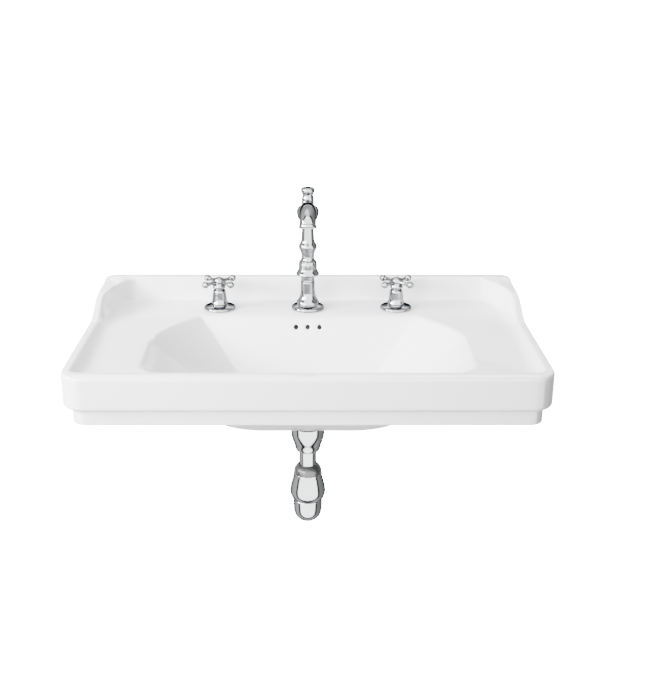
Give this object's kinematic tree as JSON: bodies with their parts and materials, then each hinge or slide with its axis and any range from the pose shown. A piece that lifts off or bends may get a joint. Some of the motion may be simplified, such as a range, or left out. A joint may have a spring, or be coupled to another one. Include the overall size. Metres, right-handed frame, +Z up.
{
  "type": "wall-hung washbasin",
  "caption": "Wall-hung washbasin with stepped apron, side wings, rectangular bowl, cross-handle three-hole tap set, pop-up waste and bottle trap.",
  "frame": {"origin": "on the wall face, midway between the two wall bolts, 75 mm below the top of the rim", "axes": "+X to the right seen from the front, +Y into the wall, +Z up; the front faces -Y"},
  "size_m": [0.8, 0.52, 0.6037],
  "materials": {
    "glaze": "gloss white glaze",
    "chrome": "polished chrome plate",
    "zinc_steel": "zinc plated",
    "brass": "as machined",
    "copper": "drawn copper tube",
    "rubber": "matte black",
    "white_plastic": "matte white",
    "black_plastic": "satin black"
  },
  "bodies": {
    "base": {"basin": "glaze", "wall_bolts": "zinc_steel", "bolt_sleeves": "white_plastic", "bolt_washers": "zinc_steel", "bolt_nuts": "zinc_steel", "waste_flange": "chrome", "flange_seal": "rubber", "body_seal": "rubber", "waste_body": "chrome", "tail_pipe": "chrome", "ball_seat": "white_plastic", "ball_nut": "chrome", "trap_nut": "black_plastic", "trap_body": "chrome", "trap_cup": "chrome", "cup_seal": "rubber", "outlet_pipe": "chrome", "outlet_nut": "chrome", "outlet_seal": "rubber", "spout_base": "chrome", "spout_gasket": "rubber", "spout_shank": "brass", "spout_tee": "brass", "spout_washer": "rubber", "spout_lock_nut": "brass", "valve_gaskets": "rubber", "valve_washers": "rubber", "valve_lock_nuts": "brass", "valve_flange_left": "chrome", "valve_flange_right": "chrome", "valve_body_left": "brass", "valve_body_right": "brass", "bonnet_left": "chrome", "bonnet_right": "chrome", "cartridge_left": "white_plastic", "cartridge_right": "white_plastic", "link_pipe_left": "copper", "link_pipe_right": "copper", "link_nuts": "brass"},
    "spout": {"spout_column": "chrome", "swivel_seals": "rubber", "spout_head": "chrome", "spout_nozzle": "chrome", "aerator": "white_plastic"},
    "handle_left": {"handle_left": "chrome", "handle_cap_left": "chrome", "spindle_left": "brass"},
    "handle_right": {"handle_right": "chrome", "handle_cap_right": "chrome", "spindle_right": "brass"},
    "lift": {"lift_knob": "chrome", "lift_rod": "chrome", "lift_strap": "zinc_steel", "strap_screw": "zinc_steel"},
    "lever": {"ball_lever": "zinc_steel"},
    "plug": {"plug": "chrome", "plug_seal": "rubber"}
  },
  "joints": [
    {"name": "hot_handle", "type": "hinge", "parent": "base", "child": "handle_left", "pos_m": [-0.1695, -0.075, 0.12], "axis": [0, 0, 1], "range_deg": [0, 90]},
    {"name": "cold_handle", "type": "hinge", "parent": "base", "child": "handle_right", "pos_m": [0.1695, -0.075, 0.12], "axis": [0, 0, 1], "range_deg": [-90, 0]},
    {"name": "spout_swivel", "type": "hinge", "parent": "base", "child": "spout", "pos_m": [0, -0.075, 0.121], "axis": [0, 0, 1], "range_deg": [-60, 60]},
    {"name": "lift_knob", "type": "slide", "parent": "base", "child": "lift", "axis": [0, 0, 1], "range_m": [0, 0.036]},
    {"name": "plug_lever", "type": "hinge", "parent": "base", "child": "lever", "pos_m": [0, -0.207, -0.13], "axis": [1, 0, 0], "range_deg": [0, 15.58]},
    {"name": "plug_slide", "type": "slide", "parent": "base", "child": "plug", "axis": [0, 0, 1], "range_m": [-0.009, 0]}
  ],
  "couplings": [
    {"joint": "plug_lever", "follows": "lift_knob", "rad_per_m": 7.5293},
    {"joint": "plug_slide", "follows": "lift_knob", "ratio": -0.25}
  ]
}
